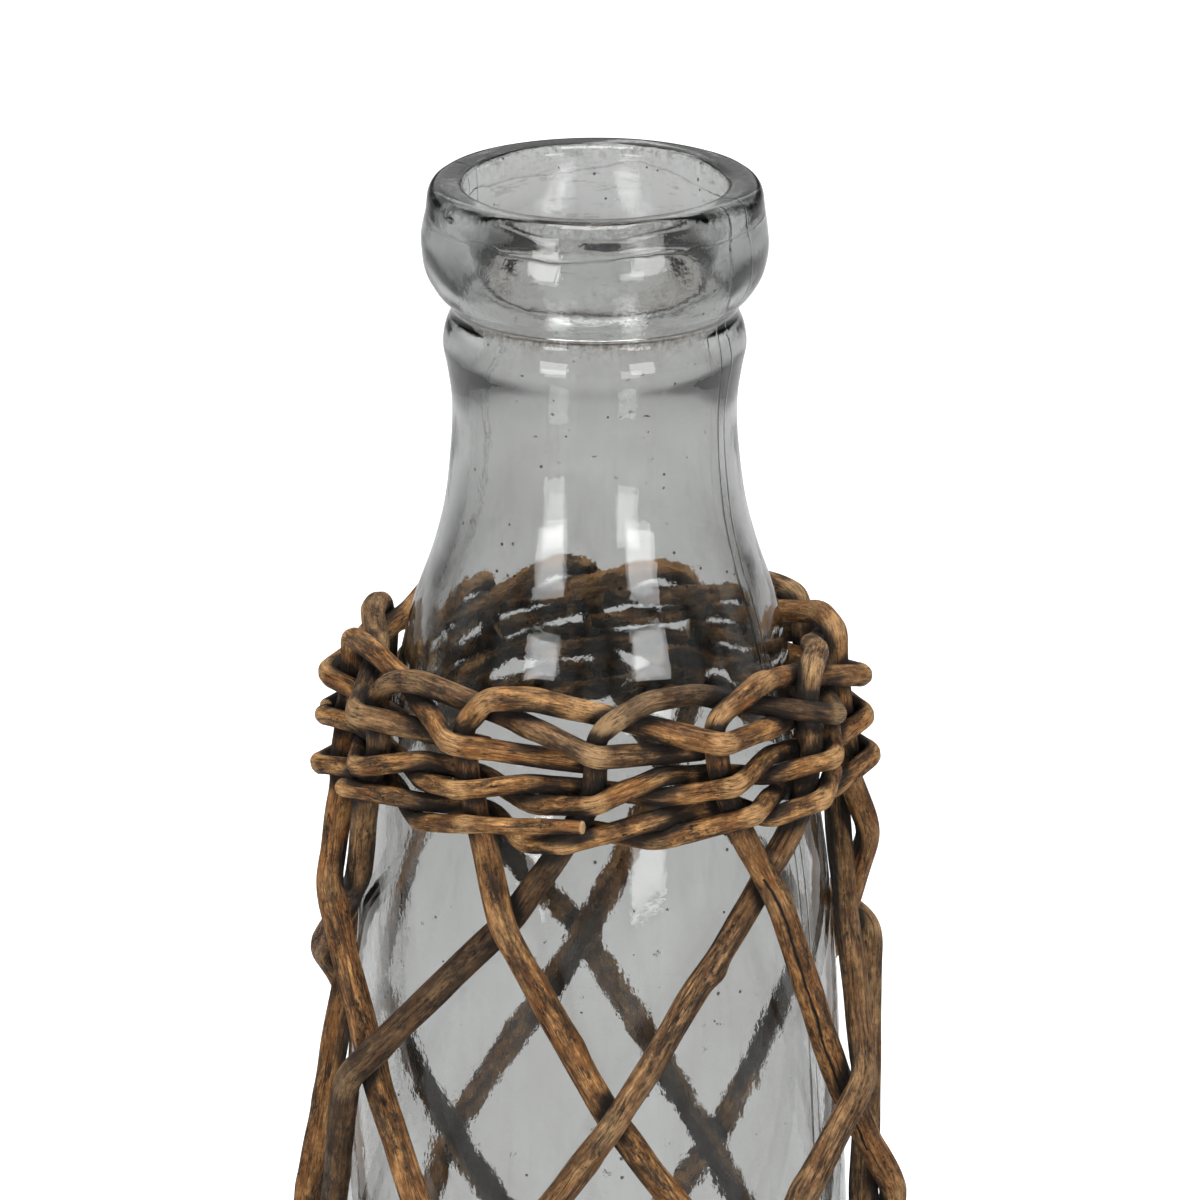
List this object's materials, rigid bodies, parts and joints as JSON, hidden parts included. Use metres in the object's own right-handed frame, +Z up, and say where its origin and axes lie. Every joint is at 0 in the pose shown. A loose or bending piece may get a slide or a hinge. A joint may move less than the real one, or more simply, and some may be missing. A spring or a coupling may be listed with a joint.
{
  "type": "wicker carafe",
  "caption": "Clear glass bottle for serving drinks, with a bead lip and a ring under it, held in an open cover of crossed willow rods with a twined collar, a plaited border and a woven base.",
  "frame": {"origin": "middle of the base, on the surface that the carafe stands on", "axes": "+Z up along the bottle's axis, -Y to the front that the picture shows, +X to the right of it"},
  "size_m": [0.1191, 0.1191, 0.3048],
  "materials": {
    "clear_glass": "clear, smooth, slightly grey",
    "brown_willow": "unpeeled willow, matt brown bark",
    "grey_willow": "unpeeled willow, weathered grey brown",
    "weaver_willow": "unpeeled willow, brown bark with a dull sheen",
    "base_willow": "willow, matt, lighter brown"
  },
  "bodies": {
    "root": {"bottle": "clear_glass", "stake_01": "grey_willow", "stake_02": "brown_willow", "stake_03": "grey_willow", "stake_04": "brown_willow", "stake_05": "grey_willow", "stake_06": "brown_willow", "stake_07": "grey_willow", "stake_08": "brown_willow", "stake_09": "grey_willow", "stake_10": "brown_willow", "stake_11": "grey_willow", "stake_12": "brown_willow", "collar_weaver_1": "weaver_willow", "collar_weaver_2": "weaver_willow", "collar_weaver_3": "weaver_willow", "collar_weaver_4": "weaver_willow", "foot_weaver_1": "weaver_willow", "foot_weaver_2": "weaver_willow", "foot_weaver_3": "weaver_willow", "foot_weaver_4": "weaver_willow", "base_stick_1": "base_willow", "base_stick_2": "base_willow", "base_stick_3": "base_willow", "base_stick_4": "base_willow", "base_stick_5": "base_willow", "base_stick_6": "base_willow", "base_weaver_1": "base_willow", "base_weaver_2": "base_willow"}
  },
  "joints": []
}
